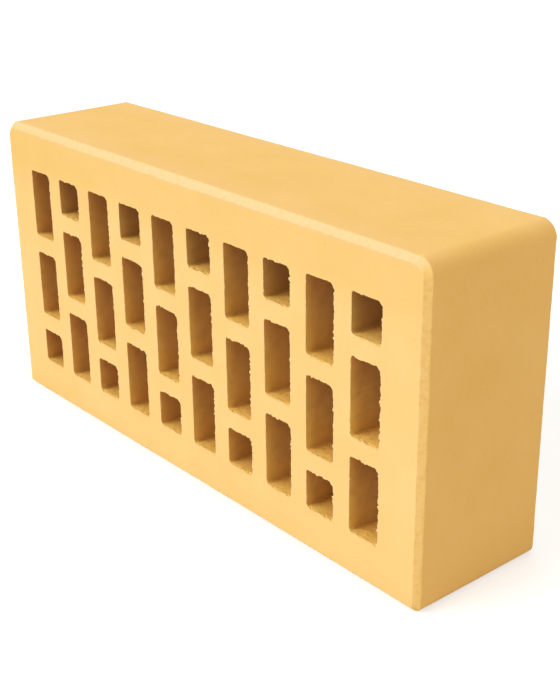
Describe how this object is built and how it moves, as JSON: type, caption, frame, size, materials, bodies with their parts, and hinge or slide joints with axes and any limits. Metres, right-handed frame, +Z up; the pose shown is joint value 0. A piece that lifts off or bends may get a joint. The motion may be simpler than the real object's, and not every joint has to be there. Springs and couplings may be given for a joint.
{
  "type": "perforated clay facing brick",
  "caption": "Yellow hollow clay brick with rows of rectangular through slots, two well rounded long edges and chamfered bed-face rims.",
  "frame": {"origin": "middle of the long side face that the brick stands on", "axes": "+X along the length, +Y through the thickness from one bed face to the other, +Z up across the brick's width"},
  "size_m": [0.25, 0.062, 0.124],
  "materials": {
    "fired_clay": "matte"
  },
  "bodies": {
    "root": {"brick_body": "fired_clay"}
  },
  "joints": []
}
